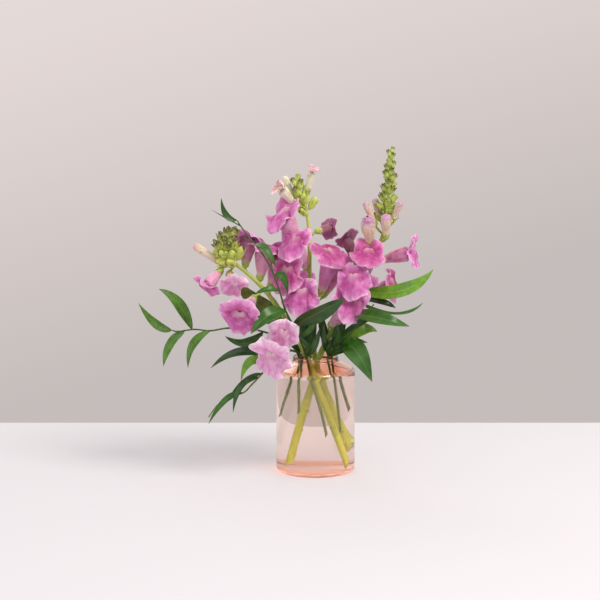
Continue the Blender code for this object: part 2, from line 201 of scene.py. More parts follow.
def nearTo(tree, value, middle, inner, outer):
    away = combine(tree, "ABSOLUTE", combine(tree, "SUBTRACT", value, middle))
    return flip(tree, ramp(tree, away, inner, outer))


def coordinates(tree, kind):
    # the separate parts of the UV map or of the object's own space
    place = tree.nodes.new("ShaderNodeTexCoord")
    return addNode(tree, "ShaderNodeSeparateXYZ", i0=place.outputs[kind]).outputs


def addLines(tree, growthLines, settings):
    lines = addNode(tree, "ShaderNodeGroup", {"node_tree": growthLines})
    setInputs(lines, settings)
    return lines.outputs


def finishShader(tree, shader, body, height, finish):
    tree.links.new(body, shader.inputs["Base Color"])
    setInputs(shader, finish["shader"])
    bump = addNode(tree, "ShaderNodeBump", Height=height, Strength=finish["bump"], Distance=0.0003)
    tree.links.new(bump.outputs["Normal"], shader.inputs["Normal"])


def bothSides(makeOne, kinds, growthLines):
    return {kind: [makeOne(kind, side, growthLines) for side in (False, True)] for kind in kinds}


def makeGrowthLines():
    # fine lines that run along a petal or a leaf, with cloudy patches
    group = bpy.data.node_groups.new("growthLines", "ShaderNodeTree")
    sockets = {"INPUT": ("Lines", "Patch Size", "Line Depth"), "OUTPUT": ("Shade", "Height", "Patch")}
    for way, labels in sockets.items():
        for label in labels:
            group.interface.new_socket(name=label, in_out=way, socket_type="NodeSocketFloat")
    source = group.nodes.new("NodeGroupInput")
    sink = group.nodes.new("NodeGroupOutput")
    place = group.nodes.new("ShaderNodeTexCoord")
    split = addNode(group, "ShaderNodeSeparateXYZ", i0=place.outputs["UV"])
    cloud = addNode(group, "ShaderNodeTexNoise", Vector=place.outputs["Object"], Detail=3.0)
    group.links.new(source.outputs["Patch Size"], cloud.inputs["Scale"])
    waver = times(group, cloud.outputs["Fac"], 0.05)
    across = combine(group, "ADD", split.outputs["X"], waver)
    turns = times(group, times(group, across, source.outputs["Lines"]), 6.2832)
    line = combine(group, "ABSOLUTE", combine(group, "SINE", turns))
    thin = combine(group, "POWER", line, 0.35)
    shade = times(group, flip(group, thin), source.outputs["Line Depth"])
    height = combine(group, "ADD", thin, times(group, cloud.outputs["Fac"], 0.8))
    for label, value in (("Shade", shade), ("Height", height), ("Patch", cloud.outputs["Fac"])):
        group.links.new(value, sink.inputs[label])
    return group


petalKinds = {
    # tube, lip and edge outside, then throat, lip and edge inside
    # the lilac and magenta tube colours are their own pinks made lighter, painted light for light that
    # shines through the thin petals
    "lilac": ("#e79cbe", "#c678ac", "#dba2cb", "#9c2164", "#b8559a", "#d792c2"),
    "magenta": ("#ec8cc6", "#c05a9c", "#cf86bb", "#83124f", "#ad3b83", "#cb7eae"),
    "mauve": ("#c9789c", "#c277ac", "#dfaad3", "#9a2a70", "#bb62a2", "#d894c6"),
    "blush": ("#e6aca6", "#e2abcc", "#f0d0e2", "#bd5592", "#dc9bc5", "#edc8df"),
    "dusty": ("#8f5262", "#89506e", "#996784", "#621b42", "#803864", "#935f85"),
    "cream": ("#f1e9c9", "#eedccb", "#d9b0c4", "#8a5526", "#e6cba6", "#d9acc0"),
    "rosy": ("#f3ddc0", "#e6b3ab", "#db93a4", "#9c5570", "#e0a9a6", "#d98fa0"),
    "young": ("#e0c4a6", "#cb9fb6", "#c483b3", "#9c5570", "#bb78a6", "#c98fb8"),
}

petalFinish = {
    "lines": {"Lines": 15.0, "Line Depth": 0.55, "Patch Size": 170.0},
    "bump": 0.35,
    "foot": "#e9d7a9",
    # near-white pink of the painted highlight along the petals' edges
    "rimHighlight": "#fff1f8",
    "palate": "#f0d3c9",
    "lineTint": "#b06fa0",
    "shader": {
        "Roughness": 0.48, "Specular IOR Level": 0.32, "Sheen Weight": 0.25, "Sheen Roughness": 0.4,
        "Subsurface Weight": 0.45, "Subsurface Scale": 0.0022, "Subsurface Radius": (1.0, 0.55, 0.8),
    },
}


def petalMaterial(kind, inside, growthLines):
    start, lip, edge = [paint(code) for code in (petalKinds[kind][3:] if inside else petalKinds[kind][:3])]
    material, tree, shader = newMaterial(kind + ("PetalInside" if inside else "PetalOutside"))
    lines = addLines(tree, growthLines, petalFinish["lines"])
    across, along = coordinates(tree, "UV")[:2]
    # inside, the dark throat colour runs far up the lips: partly the petals' own deeper colour, partly
    # painted shade in the hollow of the tube
    toLip = ramp(tree, along, 0.36, 0.80) if inside else ramp(tree, along, 0.34, 0.60)
    body = mixColour(tree, toLip, start, lip)
    body = mixColour(tree, ramp(tree, along, 0.70, 1.0), body, edge)
    # a narrow near-white band at the very edge of the lips, a painted highlight
    rimHighlight = times(tree, ramp(tree, along, 0.90, 1.0), 0.5)
    body = mixColour(tree, rimHighlight, body, mixColour(tree, 0.5, edge, paint(petalFinish["rimHighlight"])))
    if inside:
        # pale swollen palate in the middle of the lower lip
        palate = nearTo(tree, across, 0.5, 0.03, 0.13)
        band = nearTo(tree, along, 0.58, 0.02, 0.10)
        hump = times(tree, times(tree, palate, band), 0.5)
        body = mixColour(tree, hump, body, paint(petalFinish["palate"]))
    else:
        body = mixColour(tree, ramp(tree, along, 0.0, 0.14), paint(petalFinish["foot"]), body)
    patch = times(tree, ramp(tree, lines["Patch"], 0.45, 0.7), 0.5)
    body = mixColour(tree, patch, body, edge)
    flush = times(tree, flip(tree, ramp(tree, lines["Patch"], 0.30, 0.5)), 0.40)
    body = mixColour(tree, flush, body, paint(petalKinds[kind][3]))
    dark = mixColour(tree, 1.0, body, paint(petalFinish["lineTint"]), "MULTIPLY")
    body = mixColour(tree, times(tree, lines["Shade"], 0.6), body, dark)
    finishShader(tree, shader, body, lines["Height"], petalFinish)
    return material


leafKinds = {
    # deep, fresh and pale green
    # besides the leaves' own tones, the darker kinds are partly painted shade for leaves deep in the bunch
    # and the lighter kinds partly painted light for leaves the lamp falls on
    "dark": ("#1b3a0f", "#2a5216", "#5d7f48"),
    "mid": ("#264f0e", "#346714", "#64894a"),
    "fresh": ("#3f6a1c", "#547f2a", "#84a35c"),
    "bright": ("#527f1a", "#6f9e2c", "#9ab766"),
    "olive": ("#4c571d", "#6c7529", "#838c4c"),
}

leafFinish = {
    "lines": {"Lines": 7.0, "Line Depth": 0.6, "Patch Size": 120.0},
    "bump": 0.4,
    "tip": "#7d7a3a",
    "above": {"Roughness": 0.31, "Coat Weight": 0.2},
    "below": {"Roughness": 0.55},
    "shader": {
        "Specular IOR Level": 0.32, "Coat Roughness": 0.2,
        "Subsurface Weight": 0.10, "Subsurface Scale": 0.001, "Subsurface Radius": (0.4, 0.9, 0.3),
    },
}


def leafMaterial(kind, below, growthLines):
    deep, fresh, pale = [paint(code) for code in leafKinds[kind]]
    material, tree, shader = newMaterial(kind + ("LeafBelow" if below else "LeafAbove"))
    lines = addLines(tree, growthLines, leafFinish["lines"])
    across, along = coordinates(tree, "UV")[:2]
    rib = nearTo(tree, across, 0.5, 0.0, 0.05)
    body = mixColour(tree, ramp(tree, lines["Patch"], 0.3, 0.7), deep, fresh)
    if below:
        body = mixColour(tree, 0.55, body, pale)
    body = mixColour(tree, times(tree, rib, 0.5), body, pale)
    body = mixColour(tree, times(tree, lines["Shade"], 0.35), body, fresh)
    tip = times(tree, ramp(tree, along, 0.9, 1.0), 0.5)
    body = mixColour(tree, tip, body, paint(leafFinish["tip"]))
    height = combine(tree, "SUBTRACT", lines["Height"], times(tree, rib, 1.2))
    finishShader(tree, shader, body, height, leafFinish)
    setInputs(shader, leafFinish["below" if below else "above"])
    return material


stemKinds = {
    # fresh, deep and bud tip
    "snapdragonGreen": ("#a6c050", "#7f9b38", "#33232a"),
    "ruscusGreen": ("#44601f", "#2f4a1a", "#2c2418"),
}

stemFinish = {
    "lines": {"Lines": 4.0, "Line Depth": 0.5, "Patch Size": 300.0},
    "bump": 0.3,
    "young": "#cfda74",
    "wet": ("#a5b31c", "#d9e34a"),
    "speckScale": 900.0,
    "shader": {
        "Roughness": 0.42, "Specular IOR Level": 0.4,
        "Subsurface Weight": 0.15, "Subsurface Scale": 0.0015,
    },
}


def stemMaterial(name, growthLines):
    # the tone attribute: red is a dark bud tip, green a pale young part, blue a part under water
    fresh, deep, dark = [paint(code) for code in stemKinds[name]]
    wetDeep, wetFresh = [paint(code) for code in stemFinish["wet"]]
    material, tree, shader = newMaterial(name)
    lines = addLines(tree, growthLines, stemFinish["lines"])
    tone = addNode(tree, "ShaderNodeAttribute", {"attribute_name": "tone"})
    tip, young, wet = addNode(tree, "ShaderNodeSeparateColor", i0=tone.outputs["Color"]).outputs[:3]
    body = mixColour(tree, ramp(tree, lines["Patch"], 0.3, 0.75), deep, fresh)
    body = mixColour(tree, young, body, paint(stemFinish["young"]))
    body = mixColour(tree, wet, body, mixColour(tree, lines["Patch"], wetDeep, wetFresh))
    body = mixColour(tree, times(tree, lines["Shade"], 0.3), body, deep)
    place = tree.nodes.new("ShaderNodeTexCoord").outputs["Object"]
    speck = addNode(tree, "ShaderNodeTexNoise", Vector=place, Scale=stemFinish["speckScale"])
    blot = times(tree, tip, ramp(tree, speck.outputs["Fac"], 0.25, 0.55))
    body = mixColour(tree, blot, body, dark)
    finishShader(tree, shader, body, lines["Height"], stemFinish)
    return material


def clearMaterial(name, finish):
    # glass or water: the tint gathers in the height bands where more of it is looked through
    material, tree, shader = newMaterial(name)
    height = coordinates(tree, "Object")["Z"]
    share = 0.0
    for middle, half in finish["bands"]:
        share = combine(tree, "MAXIMUM", share, nearTo(tree, height, middle, half * 0.4, half))
    if finish["bands"]:
        body = mixColour(tree, share, paint(finish["tint"]), paint(finish["bandTint"]))
        tree.links.new(body, shader.inputs["Base Color"])
    else:
        shader.inputs["Base Color"].default_value = paint(finish["tint"])
    setInputs(shader, {"Roughness": 0.0, "IOR": finish["ior"], "Transmission Weight": 1.0})
    rays = tree.nodes.new("ShaderNodeLightPath")
    clear = addNode(tree, "ShaderNodeBsdfTransparent", Color=paint(finish["shadow"]))
    either = addNode(tree, "ShaderNodeMixShader", i0=rays.outputs["Is Shadow Ray"])
    tree.links.new(shader.outputs[0], either.inputs[1])
    tree.links.new(clear.outputs[0], either.inputs[2])
    tree.links.new(either.outputs[0], tree.nodes["Material Output"].inputs["Surface"])
    return material


# Mesh helpers

def smooth(low, high, value):
    share = max(0.0, min(1.0, (value - low) / (high - low)))
    return share * share * (3 - 2 * share)


def deselectAll():
    bpy.ops.object.select_all(action="DESELECT")


def pick(piece):
    deselectAll()
    piece.select_set(True)
    bpy.context.view_layer.objects.active = piece


def gridPiece(name, across, along, placeAt):
    # a grid laid out in the UV square, then each corner taken to its place in millimetres
    deselectAll()
    bpy.ops.mesh.primitive_grid_add(x_subdivisions=across, y_subdivisions=along)
    piece = bpy.context.object
    piece.name = name
    piece.data.name = name
    for vertex in piece.data.vertices:
        vertex.co = placeAt((vertex.co.x + 1) / 2, (vertex.co.y + 1) / 2) * mm
    return piece


def editWhole(piece, operator, **settings):
    pick(piece)
    bpy.ops.object.mode_set(mode="EDIT")
    bpy.ops.mesh.select_all(action="SELECT")
    operator(**settings)
    bpy.ops.object.mode_set(mode="OBJECT")


def weld(piece):
    editWhole(piece, bpy.ops.mesh.remove_doubles, threshold=0.000005)


def faceOut(piece):
    editWhole(piece, bpy.ops.mesh.normals_make_consistent)


def softShade(piece):
    pick(piece)
    bpy.ops.object.shade_smooth()


def applyAll(piece):
    pick(piece)
    for modifier in list(piece.modifiers):
        bpy.ops.object.modifier_apply(modifier=modifier.name)
    bpy.ops.object.shade_smooth()


def addSolid(piece, thickness, otherInside=True):
    solid = piece.modifiers.new("thickness", "SOLIDIFY")
    solid.thickness = thickness * mm
    solid.material_offset = 1 if otherInside else 0


def addSmooth(piece):
    rounding = piece.modifiers.new("smooth", "SUBSURF")
    rounding.levels = 1
    rounding.render_levels = 1


def paintTone(piece, tip, young, wet=0.0):
    # each tone is a number or a function of a vertex
    layer = piece.data.color_attributes.new("tone", "FLOAT_COLOR", "POINT")
    for i, vertex in enumerate(piece.data.vertices):
        tones = [tone(vertex) if callable(tone) else tone for tone in (tip, young, wet)]
        layer.data[i].color = (*tones, 1.0)


def underWater(vertex):
    return 1.0 - smooth(vase["waterLevel"] - 3, vase["waterLevel"] + 6, vertex.co.z / mm)


def joinPieces(pieces, name):
    deselectAll()
    for piece in pieces:
        piece.select_set(True)
    bpy.context.view_layer.objects.active = pieces[0]
    bpy.ops.object.join()
    joined = bpy.context.object
    joined.name = name
    joined.data.name = name
    return joined


def smoothPath(points, steps):
    # a curve that passes through every point
    knots = [Vector(p) for p in points]
    knots = [knots[0] * 2 - knots[1]] + knots + [knots[-1] * 2 - knots[-2]]
    path = []
    for before, start, end, after in zip(knots, knots[1:], knots[2:], knots[3:]):
        for step in range(steps):
            t = step / steps
            bend = (before * 2 - start * 5 + end * 4 - after) * t * t
            twist = (start * 3 - before - end * 3 + after) * t * t * t
            path.append((start * 2 + (end - before) * t + bend + twist) * 0.5)
    path.append(knots[-2])
    return path


def nearestOn(path, point):
    return min(path, key=lambda p: (p - point).length)


def degreesApart(angle, centre):
    return abs((math.degrees(angle) - centre + 180) % 360 - 180)


def tubePiece(name, path, radii, sides):
    # a tube with closed ends, made from a grid wrapped round the path
    count = len(path)
    frames = []
    side = (path[1] - path[0]).normalized().orthogonal().normalized()
    for i in range(count):
        along = (path[min(i + 1, count - 1)] - path[max(i - 1, 0)]).normalized()
        side = (side - along * side.dot(along)).normalized()
        frames.append((side, along.cross(side)))

    def placeAt(u, v):
        row = round(v * (count + 1)) - 1
        i = max(0, min(count - 1, row))
        radius = radii[i] if 0 <= row < count else 0.0
        angle = 2 * math.pi * u
        return path[i] + (frames[i][0] * math.cos(angle) + frames[i][1] * math.sin(angle)) * radius

    piece = gridPiece(name, sides, count + 1, placeAt)
    weld(piece)
    faceOut(piece)
    return piece


# Layout of the arrangement, in millimetres from the centre of the vase's foot

snapdragonPaths = {
    "left": [
        (28, -9, 4), (8, -10, 66), (-1, -10, 94), (-8, -9.5, 114), (-21, -10, 139), (-35, -11, 162),
        (-50, -12, 182), (-66, -14, 198), (-79, -16, 209), (-86, -19, 220), (-87, -23, 230),
        (-82, -30, 238),
    ],
    "middle": [
        (22, 19, 17), (9, 14, 66), (3, 11, 94), (-1, 9, 114), (-4, 9, 138), (-6, 9, 168),
        (-6, 8, 198), (-6, 7, 228), (-8, 6, 252), (-12, 5, 266), (-16, 4, 278),
        (-18, 4, 286),
    ],
    "right": [
        (-20, 1, 5), (-9, 0, 60), (-1, -1, 94), (4, -1, 114), (14, 0, 135), (29, 3, 157),
        (43, 6, 181), (53, 8, 200), (60, 9, 218), (67, 10, 239), (70, 10, 267), (72, 9, 291),
        (73, 8, 314),
    ],
}

ruscusPaths = {
    "far_left": [
        (-30, -4, 54), (-22, -4, 80), (-17, -3, 100), (-17, -4, 117), (-27, -10, 129),
        (-42, -14, 138), (-64, -10, 143), (-85, -6, 143), (-103, -4, 140), (-118, -2, 141),
        (-134, -2, 139), (-140, -2, 140),
    ],
    "arching": [
        (10, -21, 38), (4, -19, 66), (-5, -16, 98), (-9, -15, 116), (-16, -24, 137), (-24, -33, 154),
        (-30, -37, 168), (-35, -40, 186), (-42, -40, 205), (-52, -38, 222), (-63, -36, 235),
        (-72, -34, 247), (-75, -34, 252),
    ],
    "low_left": [
        (-14, -17, 60), (-14, -15, 84), (-14, -12, 102), (-14, -12, 117), (-25, -17, 123),
        (-35, -22, 121), (-43, -25, 115), (-52, -27, 102), (-62, -27, 91), (-70, -26, 83),
        (-84, -24, 78), (-96, -22, 69), (-104, -22, 58),
    ],
    "right": [
        (22, -18, 42), (19, -16, 66), (15, -13, 96), (12, -12, 116), (23, -20, 132),
        (36, -26, 145), (47, -28, 158), (56, -27, 170),
    ],
    "low_right": [
        (24, 8, 58), (20, 0, 84), (17, -4, 102), (16, -6, 116), (20, -12, 125), (24, -17, 129),
        (28, -21, 130),
    ],
}

# each stem's florets by number: calyx mouth, front of the lips, half width, petal kind, how far it is open
florets = {
    "left": [
        ((-95, -18, 211), (-116, -24, 226), 6.0, "rosy", 0.12),
        ((-92, -24, 202), (-105, -36, 188), 9.0, "lilac", 0.9),
        ((-83, -23, 199), (-80, -42, 190), 8.6, "blush", 0.85),
        ((-68, -8, 206), (-66, -2, 232), 13.5, "mauve", 1.10),
        ((-54, -4, 192), (-49, -4, 223), 12.5, "lilac", 1.05),
        ((-44, 2, 182), (-37, 14, 212), 11.5, "magenta", 0.8),
        ((-60, -22, 175), (-72, -50, 160), 14.0, "lilac", 0.84),
        ((-31, -20, 146), (-31, -48, 142), 10.4, "blush", 0.82),
        ((-29, -25, 128), (-41, -52, 120), 13.4, "blush", 0.86),
    ],
    "middle": [
        ((-21, 2, 264), (-34, -6, 280), 7.4, "cream", 0.42),
        ((-8, 4, 276), (-3, 0, 296), 6.2, "cream", 0.40),
        ((-17, 0, 230), (-33, -8, 254), 13.5, "lilac", 0.78),
        ((2, 12, 236), (14, 28, 236), 7.0, "dusty", 0.8),
        ((-9, -2, 202), (-21, -19, 227), 12.0, "lilac", 0.74),
        ((-13, -3, 182), (-29, -25, 198), 12.0, "magenta", 0.86),
        ((-9, -5, 160), (-15, -32, 177.5), 12.2, "lilac", 0.8),
        ((5, 3, 177), (17, -9, 216), 13.0, "magenta", 0.85),
        ((8, 17, 172), (26, 24, 202), 12.0, "magenta", 0.85),
        ((-11, 19, 164), (-18, 46, 176), 11.0, "lilac", 0.9),
    ],
    "right": [
        ((68, 3, 232), (68, -4, 253), 7.8, "young", 0.12),
        ((53, 2, 225), (50, -8, 250), 10.5, "young", 0.24),
        ((64, 10, 208), (94, 2, 216), 10.8, "mauve", 0.72),
        ((42, 14, 202), (30, 28, 226), 8.0, "dusty", 0.7),
        ((49, 1, 192), (51, -13, 216), 11.0, "magenta", 0.78),
        ((44, -4, 171), (35, -26, 191), 12.0, "lilac", 0.84),
        ((53, 5, 174), (75, -2, 184), 11.0, "magenta", 0.9),
        ((15, -6, 146), (34, -24, 169), 13.5, "lilac", 0.82),
        ((38, 14, 165), (46, 42, 174), 11.0, "lilac", 0.9),
    ],
}

# small buds that already show colour, in the same terms
colouredBuds = {
    "left": [],
    "middle": [
        ((-23, 9, 272), (-30, 14, 288), 4.2, "cream", 0.05),
    ],
    "right": [
        ((57, 3, 245), (48, -1, 265), 4.6, "young", 0.05),
        ((75, 3, 249), (82, -2, 265), 4.4, "young", 0.05),
        ((62, 12, 250), (58, 14, 266), 4.2, "young", 0.05),
    ],
}

# each stem's leaves by number: foot, middle, tip, width, the way the face looks, leaf kind
leaves = {
    "far_left": [
        ((-120, -2, 141), (-134, -8, 168), (-152, -10, 182), 12, (0.3, -0.8, 0.5), "fresh"),
        ((-140, -2, 140), (-156, -5, 147), (-172, -8, 168), 9, (0.2, -0.8, 0.5), "fresh"),
        ((-127, -3, 139), (-141, -14, 128), (-148, -20, 108), 10, (-0.4, -0.8, 0.4), "fresh"),
        ((-104, -4, 140), (-119, -13, 128), (-124, -17, 106), 9, (-0.4, -0.8, 0.4), "fresh"),
        ((-52, -12, 140), (-68, -18, 130), (-88, -12, 136), 11, (0.0, -0.7, 0.8), "dark"),
    ],
    "arching": [
        ((-75, -34, 252), (-86, -35, 258), (-90, -37, 274), 6, (0.3, -0.9, 0.2), "dark"),
        ((-58, -37, 229), (-48, -46, 226), (-38, -48, 208), 9, (0.5, -0.8, 0.4), "mid"),
        ((-40, -40, 201), (-31, -40, 198), (-27, -36, 181), 8, (0.3, -0.9, 0.1), "mid"),
        ((-22, -31, 151), (6, -53, 168), (28, -53, 180), 20, (0.1, -0.8, -0.5), "dark"),
        ((-29, -36, 165), (-46, -54, 163), (-62, -55, 146), 16, (-0.1, -0.8, 0.6), "mid"),
    ],
    "left": [
        ((-27, -9, 150), (-55, 2, 164), (-79, -6, 192), 21, (0.3, -0.9, -0.2), "olive"),
    ],
    "low_left": [
        ((-41, -24, 117), (-74, -14, 121), (-102, -10, 104), 9, (0.1, -0.8, 0.6), "dark"),
        ((-46, -26, 110), (-63, -38, 116), (-72, -38, 97), 9, (0.3, -0.8, 0.6), "bright"),
        ((-54, -27, 99), (-72, -38, 91), (-80, -40, 66), 7, (-0.5, -0.8, 0.3), "dark"),
    ],
    "right": [
        ((55, -25, 173), (84, -28, 184), (113, -22, 203), 15, (-0.2, -0.8, 0.5), "bright"),
        ((49, -25, 168), (64, -12, 170), (78, -8, 163), 9, (0.1, -0.6, 0.8), "dark"),
        ((46, -25, 167), (76, -33, 162), (103, -32, 172), 7, (0.1, -0.3, 0.9), "mid"),
        ((42, -27, 152), (60, -49, 160), (90, -46, 152), 16, (0.1, -0.8, 0.7), "mid"),
    ],
    "low_right": [
        ((24, -17, 131), (44, -12, 142), (60, -9, 140), 14, (0.1, -0.8, 0.7), "bright"),
        ((28, -21, 130), (40, -42, 125), (54, -48, 98), 21, (-0.3, -0.8, 0.6), "mid"),
        ((18, -9, 120), (32, -2, 136), (46, 2, 152), 13, (0.5, -0.8, 0.3), "dark"),
    ],
}

# more blades that grow along the sprigs, in the same terms
sprigBlades = {
    "right": [
        ((13, -13, 117), (24, -22, 136), (40, -28, 151), 8, (0.3, -0.8, -0.3), "dark"),
        ((12, -12, 116), (17, -20, 131), (27, -24, 145), 8, (0.2, -0.9, 0.1), "dark"),
        ((12, -12, 116), (26, -22, 124), (44, -26, 127), 7, (0.0, -0.8, 0.6), "dark"),
        ((17, -16, 123), (21, -28, 138), (20, -32, 152), 7, (0.4, -0.9, 0.1), "dark"),
        ((36, -26, 145), (50, -36, 158), (64, -38, 160), 8, (0.1, -0.8, 0.6), "dark"),
    ],
    "low_right": [
        ((17, -7, 118), (28, -8, 136), (42, -6, 147), 9, (0.4, -0.8, 0.2), "dark"),
        ((16, -6, 116), (8, 2, 138), (4, 1, 164), 9, (0.1, -1.0, 0.1), "dark"),
        ((16, -6, 116), (21, -10, 138), (27, -10, 160), 10, (0.3, -1.0, 0.1), "mid"),
        ((16, -6, 116), (9, -18, 131), (8, -24, 149), 7, (0.1, -0.9, 0.1), "dark"),
        ((16, -6, 116), (22, 2, 130), (30, 4, 148), 9, (0.3, -0.9, 0.1), "dark"),
        ((22, -15, 127), (34, -26, 134), (50, -30, 133), 8, (0.1, -0.8, 0.6), "mid"),
    ],
    "arching": [
        ((-9, -15, 116), (-4, -8, 137), (0, -10, 162), 9, (0.2, -1.0, 0.1), "dark"),
        ((-9, -15, 116), (-8, -26, 128), (-16, -32, 139), 6, (0.4, -0.9, 0.1), "dark"),
        ((-9, -15, 116), (-1, -20, 129), (4, -22, 146), 7, (0.2, -0.9, 0.1), "dark"),
        ((-16, -24, 137), (-6, -32, 146), (2, -34, 158), 6, (0.4, -0.9, 0.1), "mid"),
        ((-35, -40, 186), (-47, -45, 187), (-58, -45, 183), 7, (0.1, -0.6, 0.8), "mid"),
        ((-72, -34, 247), (-85, -34, 254), (-99, -34, 262), 1.0, (0.1, -0.9, 0.3), "mid"),
    ],
    "low_left": [
        ((-70, -26, 83), (-88, -30, 76), (-104, -28, 52), 6, (0.2, -0.8, 0.5), "mid"),
        ((-52, -27, 102), (-70, -22, 92), (-88, -18, 70), 6, (0.0, -0.8, 0.6), "dark"),
        ((-25, -17, 123), (-36, -26, 130), (-50, -30, 128), 7, (0.0, -0.8, 0.6), "dark"),
    ],
    "far_left": [
        ((-17, -4, 117), (-13, -10, 133), (-16, -14, 150), 7, (0.1, -0.9, 0.1), "dark"),
        ((-17, -4, 117), (-11, 1, 138), (-14, 4, 162), 10, (0.1, -1.0, 0.1), "dark"),
        ((-17, -4, 117), (-22, 2, 134), (-32, 4, 148), 8, (0.2, -0.9, 0.1), "mid"),
        ((-27, -10, 129), (-34, -24, 134), (-48, -28, 128), 6, (-0.1, -0.8, 0.6), "dark"),
        ((-42, -14, 138), (-54, -22, 126), (-60, -22, 112), 5, (-0.4, -0.8, 0.4), "dark"),
    ],
}

# buds round each tip: how many, the stretch they fill, the lengths of the top and the lowest one, girth as a
# share of length, the share of them that has a dark tip, and how pale they are
budSpirals = {
    "left": (21, 33.0, 13.0, 16.5, 0.31, 0.5, 0.75),
    "middle": (13, 30.0, 10.5, 16.5, 0.23, 0.4, 0.62),
    "right": (29, 68.0, 7.5, 13.0, 0.27, 1.0, 0.38),
}


def numbered(stem, word, rows):
    # the rows of a stem with their pieces' names
    return {f"{stem}_{word}_{i}": row for i, row in enumerate(rows, 1)}


# Vase and water

vase = {
    "radius": 38.7, "height": 114.3, "wall": 1.7, "floor": 3.0, "heel": 4.5,
    "mouth": 22.2, "lipLow": 110.5, "neckRound": 1.6, "shoulderLow": 100.0, "shoulderRound": 4.0,
    "sides": 128, "waterLevel": 98.5,
}

glassFinish = {
    "tint": "#fcf2ee", "bandTint": "#ffccb4", "shadow": "#fcf5f4", "ior": 1.45,
    "bands": [(0.0015, 0.006), (0.1085, 0.0095)],  # height of the middle and half the width, in metres
}

waterFinish = {"tint": "#fdfaf8", "shadow": "#fbf4f2", "ior": 1.333, "bands": []}


def arc(centre, radius, start, end, count):
    points = []
    for i in range(count):
        angle = math.radians(start + (end - start) * i / (count - 1))
        points.append((centre[0] + radius * math.cos(angle), centre[1] + radius * math.sin(angle)))
    return points


def turnedPiece(name, profile):
    # the first and last points of the profile lie on the axis
    rows = len(profile) - 1

    def placeAt(u, v):
        radius, height = profile[round(v * rows)]
        angle = 2 * math.pi * u
        return Vector((radius * math.cos(angle), radius * math.sin(angle), height))

    piece = gridPiece(name, vase["sides"], rows, placeAt)
    weld(piece)
    faceOut(piece)
    softShade(piece)
    return piece


def makeVase():
    outer = vase["radius"]
    inner = outer - vase["wall"]
    heel = vase["heel"]
    corner = vase["shoulderRound"]
    low = vase["shoulderLow"]
    mouth = vase["mouth"]
    throat = mouth - vase["wall"]
    lip = (mouth + throat) / 2
    bend = vase["neckRound"]
    profile = [(0.0, 0.0), (outer * 0.5, 0.0), (outer * 0.78, 0.0)]
    profile += arc((outer - heel, heel), heel, -90, 0, 8)
    profile += [(outer, 30.0), (outer, 65.0)]
    profile += arc((outer - corner, low - 1.0), corner, 0, 62, 8)
    profile += arc((mouth + bend, vase["lipLow"] + 1.0), bend, 242, 180, 5)
    profile += arc((lip, vase["height"] - vase["wall"] / 2), vase["wall"] / 2, 0, 180, 9)
    profile += arc((mouth + bend, vase["lipLow"] + 0.6), bend + vase["wall"] + 0.3, 180, 238, 5)
    profile += arc((inner - corner, low - 1.8), corner, 62, 0, 8)
    profile += [(inner, 65.0), (inner, 30.0)]
    profile += arc((inner - heel, vase["floor"] + heel), heel, 0, -90, 8)
    profile += [(inner * 0.6, vase["floor"] - 0.1), (0.0, vase["floor"] + 0.5)]
    piece = turnedPiece("glass_vase", profile)
    piece.data.materials.append(clearMaterial("peachGlass", glassFinish))
    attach(piece, "root")
    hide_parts("vase")


def makeWater():
    # the water's skin lies just inside the glass, so no film of air shows between them
    outer = vase["radius"] - vase["wall"] + 0.25
    heel = vase["heel"]
    level = vase["waterLevel"]
    floor = vase["floor"] - 0.25
    profile = [(0.0, floor + 0.3)]
    profile += arc((outer - heel, floor + heel), heel, -90, 0, 8)
    profile += [(outer, 40.0), (outer, level - 3.0), (outer, level + 1.1)]
    profile += [(outer - 0.8, level + 0.5), (outer - 2.2, level + 0.1), (outer - 5.0, level), (0.0, level)]
    piece = turnedPiece("clear_water", profile)
    piece.data.materials.append(clearMaterial("clearWater", waterFinish))
    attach(piece, "root")
    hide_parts("water")


# Leaves and wiry stems

leafShape = {
    "columns": 12, "rows": 34, "sprigRows": 20, "thickness": 0.35, "stalk": 0.45, "tipRound": 0.03,
    "fold": 0.24, "ripple": 0.09,  # rise of the sides, as shares of half the width
    "curl": 0.008,  # as a share of the length
}


def leafCurve(start, middle, tip):
    control = middle * 2 - (start + tip) * 0.5
    return lambda t: start * (1 - t) ** 2 + control * 2 * t * (1 - t) + tip * t * t


def leafBlade(name, stemPath, leaf, materials, rows):
    foot, middle, tip, width, facing, kind = leaf
    middle = Vector(middle)
    tip = Vector(tip)
    facing = Vector(facing)
    root = nearestOn(stemPath, Vector(foot))
    curve = leafCurve(root + (middle - root).normalized() * 0.6, middle, tip)
    wave = random.Random(name).uniform(0, 6.28)
    length = (tip - root).length
    broad = 0.62 if kind == "olive" else 0.78

    def placeAt(u, v):
        along = (curve(min(v + 0.01, 1.0)) - curve(max(v - 0.01, 0.0))).normalized()
        across = along.cross(facing).normalized()
        normal = across.cross(along).normalized()
        shape = math.sin(math.pi * min(1.0, v) ** broad) if 0 < v < 1 else 0.0
        half = width / 2 * max(shape, 0.0) ** 0.8 * (1 - 0.25 * v ** 6)
        stalk = leafShape["stalk"] * (1 - v) + 0.12
        if v < 1 - leafShape["tipRound"]:
            half = max(half, stalk)
        else:
            half = max(half * (1 - v) / leafShape["tipRound"], 0.05)
        s = u * 2 - 1
        fold = abs(s) ** 1.3 * half * leafShape["fold"]
        ripple = math.sin(v * 9 + wave + s * 1.2) * abs(s) * half * leafShape["ripple"]
        curl = math.sin(v * 5 + wave) * length * leafShape["curl"]
        return curve(v) + across * s * half + normal * (fold + ripple + curl)

    piece = gridPiece(name + "_blade", leafShape["columns"], rows, placeAt)
    # the first finish is the upper side's, which looks the way it was told
    for material in materials[kind]:
        piece.data.materials.append(material)
    addSolid(piece, leafShape["thickness"])
    applyAll(piece)
    return piece


